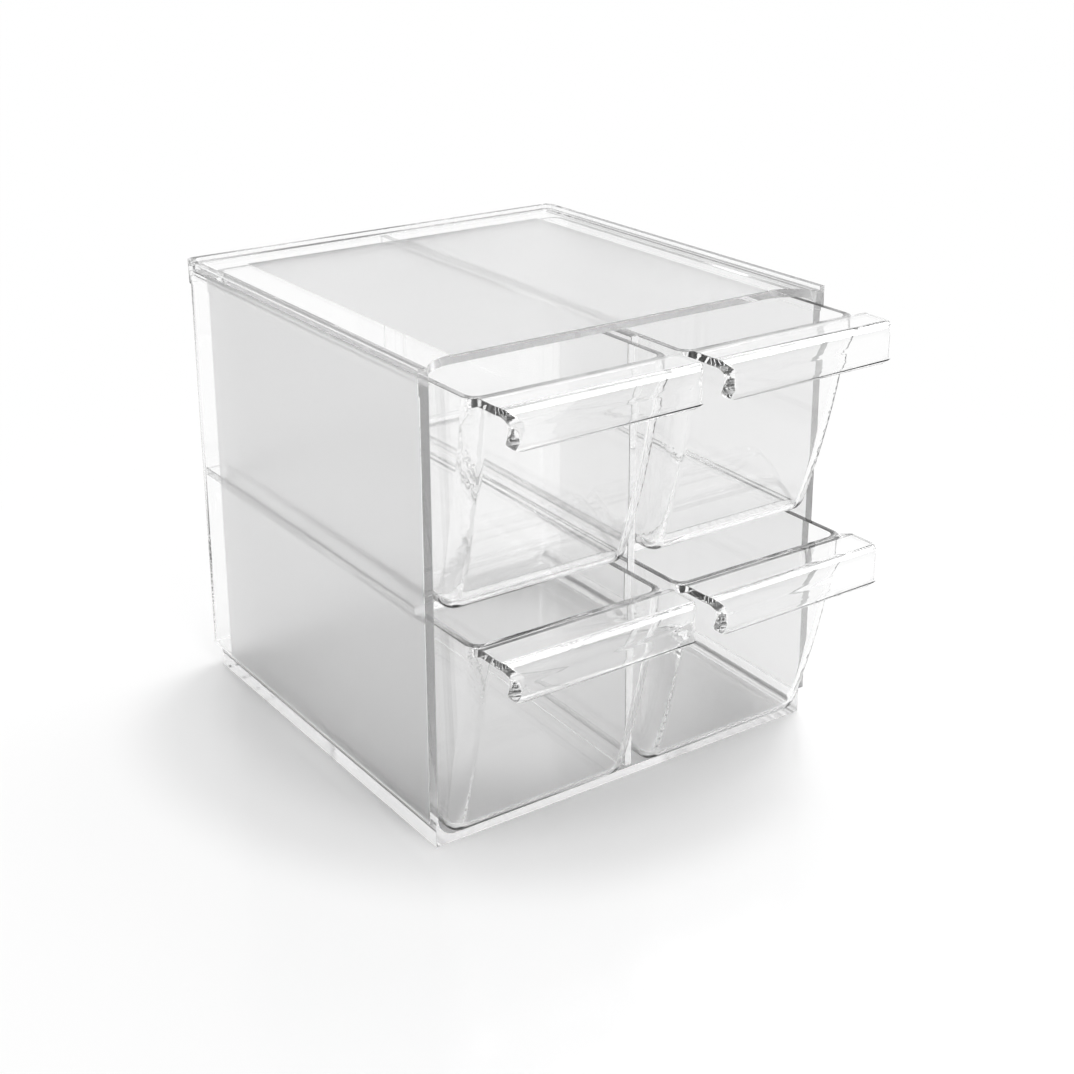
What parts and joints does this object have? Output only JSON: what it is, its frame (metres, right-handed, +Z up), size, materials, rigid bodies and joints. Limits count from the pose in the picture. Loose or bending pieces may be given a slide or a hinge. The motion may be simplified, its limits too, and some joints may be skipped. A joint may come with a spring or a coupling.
{
  "type": "desktop drawer organizer",
  "caption": "Clear plastic cube with an open front, crossed by a shelf and a divider, holding small pull-out drawers whose fronts lean forward to a turned-down lip handle.",
  "frame": {"origin": "centre of the underside of the case, on the surface it stands on", "axes": "+Z up, the open front and the drawer handles face -Y, +X to the right seen from the front"},
  "size_m": [0.1524, 0.19, 0.1524],
  "materials": {
    "case_plastic": "clear moulded polystyrene, polished at the rims and front edges, with fine frosted fields on the sides and top",
    "board_plastic": "clear polished polystyrene sheet",
    "drawer_plastic": "clear polished moulded polystyrene"
  },
  "bodies": {
    "case": {"case_shell": "case_plastic", "shelf": "board_plastic", "divider": "board_plastic"},
    "lower_left_drawer": {"lower_left_drawer": "drawer_plastic"},
    "lower_right_drawer": {"lower_right_drawer": "drawer_plastic"},
    "upper_left_drawer": {"upper_left_drawer": "drawer_plastic"},
    "upper_right_drawer": {"upper_right_drawer": "drawer_plastic"}
  },
  "joints": [
    {"name": "lower_left_slide", "type": "slide", "parent": "case", "child": "lower_left_drawer", "axis": [0, -1, 0], "range_m": [-0.0071, 0.11]},
    {"name": "lower_right_slide", "type": "slide", "parent": "case", "child": "lower_right_drawer", "axis": [0, -1, 0], "range_m": [-0.0071, 0.11]},
    {"name": "upper_left_slide", "type": "slide", "parent": "case", "child": "upper_left_drawer", "axis": [0, -1, 0], "range_m": [-0.0071, 0.11]},
    {"name": "upper_right_slide", "type": "slide", "parent": "case", "child": "upper_right_drawer", "axis": [0, -1, 0], "range_m": [-0.0071, 0.11]}
  ]
}
